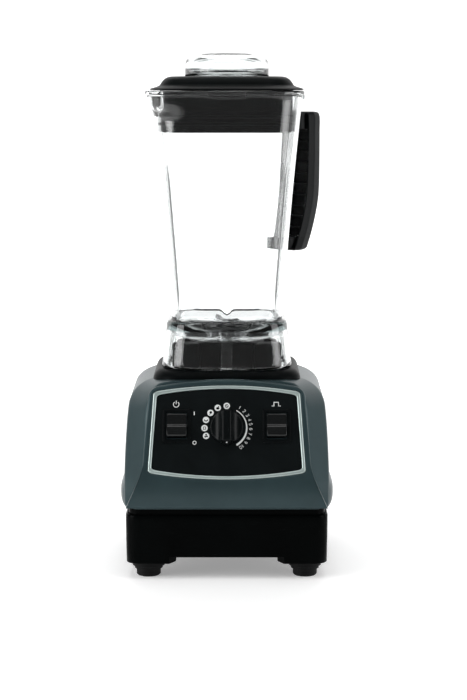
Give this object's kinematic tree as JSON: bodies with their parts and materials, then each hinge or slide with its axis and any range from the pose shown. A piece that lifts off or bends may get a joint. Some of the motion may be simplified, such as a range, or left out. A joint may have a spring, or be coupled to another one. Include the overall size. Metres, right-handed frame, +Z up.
{
  "type": "countertop blender",
  "caption": "Countertop blender with a motor base, sloped control panel, rotary speed knob, rocker switches, clear square jar with spout and handle, blades, lid and clear cap.",
  "frame": {"origin": "on the table under the middle of the base's plan", "axes": "+Z up, +X to the user's right, the control panel faces -Y"},
  "size_m": [0.213, 0.22, 0.5006],
  "materials": {
    "shell_grey": "satin metallic grey",
    "base_black": "semi-gloss",
    "foot_rubber": "matt",
    "pad_rubber": "matt",
    "panel_black": "satin",
    "trim_silver": "satin silver paint",
    "control_black": "satin",
    "marking_white": "printed",
    "steel": "machined",
    "blade_steel": "ground and polished",
    "laminations": "varnished",
    "copper": "enamelled copper",
    "cast_alloy": "die cast",
    "brass": "satin",
    "carbon": "matt",
    "board_green": "solder mask",
    "component_grey": "moulded",
    "inner_black": "moulded",
    "fan_white": "moulded",
    "clear_plastic": "clear and polished",
    "handle_black": "satin",
    "lid_rubber": "matt"
  },
  "bodies": {
    "base": {"feet": "foot_rubber", "foot_screws": "steel", "lower_base": "base_black", "housing_screws": "steel", "upper_shell": "shell_grey", "side_grips": "shell_grey", "cord_inlet": "foot_rubber", "control_panel": "panel_black", "panel_trim": "trim_silver", "power_switch_housing": "control_black", "pulse_switch_housing": "control_black", "speed_control": "board_green", "control_nut": "steel", "circuit_board": "board_green", "board_parts": "component_grey", "centering_pad": "pad_rubber", "pad_screws": "steel", "stator_core": "laminations", "field_windings": "copper", "upper_bracket": "cast_alloy", "lower_bracket": "cast_alloy", "upper_bearing": "steel", "lower_bearing": "steel", "brush_holders": "brass", "carbon_brushes": "carbon", "motor_bolts": "steel", "fan_shroud": "inner_black"},
    "knob": {"speed_knob": "control_black", "knob_pointer": "marking_white", "knob_shaft": "steel"},
    "power_switch": {"power_rocker": "control_black"},
    "pulse_switch": {"pulse_rocker": "control_black"},
    "rotor": {"motor_shaft": "steel", "drive_socket": "steel", "rotor_core": "laminations", "rotor_windings": "copper", "commutator": "copper", "cooling_fan": "fan_white"},
    "jar": {"jar_body": "clear_plastic", "handle_core": "handle_black", "handle_grip": "handle_black", "handle_screws": "steel", "blade_housing": "steel", "blade_housing_nut": "inner_black", "blade_bearings": "steel", "shaft_seal": "foot_rubber"},
    "blades": {"blade_shaft": "steel", "lower_blade": "blade_steel", "upper_blade": "blade_steel", "blade_nut": "steel"},
    "lid": {"lid_body": "lid_rubber", "lid_seals": "foot_rubber", "lid_collar": "lid_rubber"},
    "cap": {"lid_cap": "clear_plastic", "cap_tube": "clear_plastic", "cap_crown": "clear_plastic"}
  },
  "joints": [
    {"name": "jar_lift", "type": "slide", "parent": "base", "child": "jar", "axis": [0, 0, 1], "range_m": [0, 0.08]},
    {"name": "lid_lift", "type": "slide", "parent": "jar", "child": "lid", "axis": [0, 0, 1], "range_m": [0, 0.06]},
    {"name": "cap_lift", "type": "slide", "parent": "lid", "child": "cap", "axis": [0, 0, 1], "range_m": [0, 0.04]},
    {"name": "motor_spin", "type": "hinge", "parent": "base", "child": "rotor", "pos_m": [0, 0.008, 0.1076], "axis": [0, 0, 1], "continuous": true},
    {"name": "blade_spin", "type": "hinge", "parent": "jar", "child": "blades", "pos_m": [0, 0.008, 0.2276], "axis": [0, 0, 1], "continuous": true},
    {"name": "knob_turn", "type": "hinge", "parent": "base", "child": "knob", "pos_m": [0, -0.08903, 0.14451], "axis": [0, -0.9336, 0.3584], "range_deg": [-180, 148]},
    {"name": "power_rock", "type": "hinge", "parent": "base", "child": "power_switch", "pos_m": [-0.048, -0.08562, 0.14502], "axis": [1, 0, 0], "range_deg": [0, 18]},
    {"name": "pulse_rock", "type": "hinge", "parent": "base", "child": "pulse_switch", "pos_m": [0.048, -0.08562, 0.14502], "axis": [1, 0, 0], "range_deg": [0, 15], "stiffness_Nm_per_rad": 0.15}
  ],
  "couplings": [
    {"joint": "blade_spin", "follows": "motor_spin", "ratio": 1}
  ]
}
